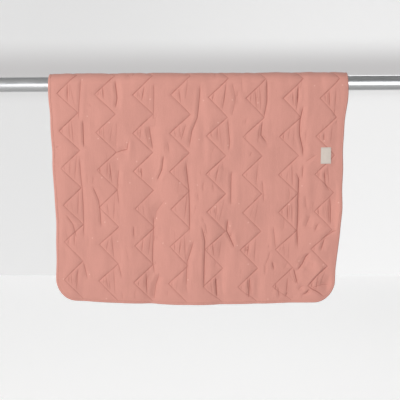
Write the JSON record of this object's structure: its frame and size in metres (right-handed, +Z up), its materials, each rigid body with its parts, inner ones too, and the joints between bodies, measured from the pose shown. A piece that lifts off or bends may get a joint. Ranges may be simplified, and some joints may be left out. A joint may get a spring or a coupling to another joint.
{
  "type": "folded duvet on a rail",
  "caption": "Zigzag-quilted baby duvet with round corners and a narrow bound edge, hanging folded once over a round metal rail.",
  "frame": {"origin": "centre of the rail's left end face", "axes": "+X along the rail to its right end, -Y towards the viewer, from whom the front half of the duvet faces, +Z up"},
  "size_m": [1, 0.0593, 0.5531],
  "materials": {
    "quilted_cotton": "matt woven cotton with zigzag quilting in thread of its own colour",
    "binding_cotton": "matt woven cotton strip, sewn along its inner edge",
    "label_tape": "pale bare woven tape",
    "brushed_rail": "brushed along its length"
  },
  "bodies": {
    "root": {"duvet": "quilted_cotton", "binding": "binding_cotton", "label": "label_tape", "rail": "brushed_rail"}
  },
  "joints": []
}
